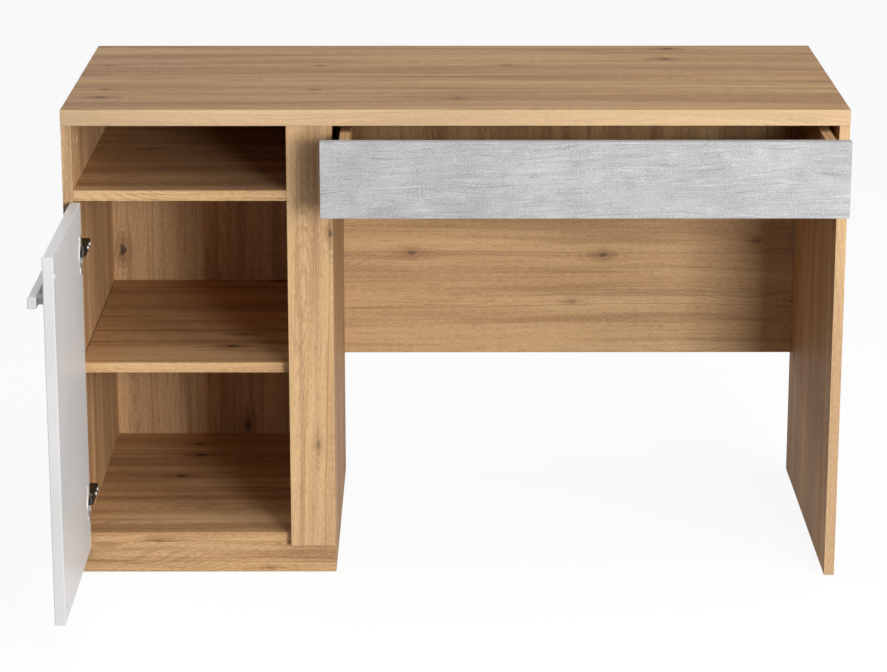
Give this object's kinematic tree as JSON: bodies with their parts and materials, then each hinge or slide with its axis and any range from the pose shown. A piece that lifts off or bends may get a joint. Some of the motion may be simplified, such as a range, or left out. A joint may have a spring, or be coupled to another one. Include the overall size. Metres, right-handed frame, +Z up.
{
  "type": "single-pedestal student desk",
  "caption": "Oak-look writing desk on a side leg and a cupboard pedestal with open niche, hinged white door and a wide concrete-look drawer on ball runners.",
  "frame": {"origin": "on the floor, in the middle of the outline that the desk takes up with its door and drawer open as shown", "axes": "+X to the right along the desk's length, +Y from its front to its back, +Z up"},
  "size_m": [1.214, 0.897, 0.753],
  "materials": {
    "oak_laminate": "satin printed oak laminate",
    "oak_print_hardboard": "printed hardboard",
    "white_laminate": "satin white laminate",
    "concrete_laminate": "matt concrete-look laminate",
    "white_lacquer": "satin white lacquer",
    "beech": "bare turned beech",
    "zinc_alloy": "cast zinc",
    "steel_wire": "bright zinc plate",
    "nickel_plate": "nickel plate",
    "dark_steel": "dark nickel plate",
    "zinc_plate": "zinc plate",
    "cage_plastic": "moulded plastic",
    "ball_steel": "polished steel",
    "glide_plastic": "moulded grey plastic",
    "clear_rubber": "clear soft plastic"
  },
  "bodies": {
    "carcass": {"top_panel": "oak_laminate", "left_side_panel": "oak_laminate", "right_side_panel": "oak_laminate", "pedestal_side_panel": "oak_laminate", "front_post": "oak_laminate", "niche_shelf": "oak_laminate", "bottom_panel": "oak_laminate", "plinth": "oak_laminate", "middle_shelf": "oak_laminate", "modesty_panel": "oak_laminate", "back_panel": "oak_print_hardboard", "cabinet_dowels": "beech", "cabinet_cam_locks": "zinc_alloy", "cabinet_cam_bolts": "zinc_alloy", "back_nails": "steel_wire", "shelf_pins": "steel_wire", "cabinet_rail_screws": "steel_wire", "hinge_plate_screws": "steel_wire", "hinge_arm_screws": "steel_wire", "hinge_plate_lower": "nickel_plate", "hinge_plate_upper": "nickel_plate", "hinge_arm_lower": "dark_steel", "hinge_arm_upper": "dark_steel", "cabinet_rail_left": "zinc_plate", "cabinet_rail_right": "zinc_plate", "glides": "glide_plastic"},
    "door": {"door_panel": "white_laminate", "door_handle": "white_lacquer", "handle_screws": "steel_wire", "door_bumpers": "clear_rubber", "hinge_cup_lower": "nickel_plate", "hinge_cup_upper": "nickel_plate", "hinge_pin_lower": "nickel_plate", "hinge_pin_upper": "nickel_plate", "hinge_cup_screws": "steel_wire"},
    "drawer": {"drawer_front": "concrete_laminate", "drawer_left_side": "oak_laminate", "drawer_right_side": "oak_laminate", "drawer_back": "oak_laminate", "drawer_bottom": "oak_print_hardboard", "drawer_cam_locks": "zinc_alloy", "drawer_cam_bolts": "zinc_alloy", "drawer_dowels": "beech", "drawer_back_screws": "steel_wire", "drawer_rail_left": "zinc_plate", "drawer_rail_right": "zinc_plate", "drawer_rail_screws": "steel_wire"},
    "left_cage": {"ball_cage_left": "cage_plastic", "runner_balls_left": "ball_steel"},
    "right_cage": {"ball_cage_right": "cage_plastic", "runner_balls_right": "ball_steel"}
  },
  "joints": [
    {"name": "door_hinge", "type": "hinge", "parent": "carcass", "child": "door", "pos_m": [-0.575, -0.1105, 0], "axis": [0, 0, 1], "range_deg": [-5, 90]},
    {"name": "drawer_slide", "type": "slide", "parent": "carcass", "child": "drawer", "axis": [0, -1, 0], "range_m": [-0.092, 0.158]},
    {"name": "left_cage_slide", "type": "slide", "parent": "carcass", "child": "left_cage", "axis": [0, -1, 0], "range_m": [-0.046, 0.079]},
    {"name": "right_cage_slide", "type": "slide", "parent": "carcass", "child": "right_cage", "axis": [0, -1, 0], "range_m": [-0.046, 0.079]}
  ],
  "couplings": [
    {"joint": "left_cage_slide", "follows": "drawer_slide", "ratio": 0.5},
    {"joint": "right_cage_slide", "follows": "drawer_slide", "ratio": 0.5}
  ]
}
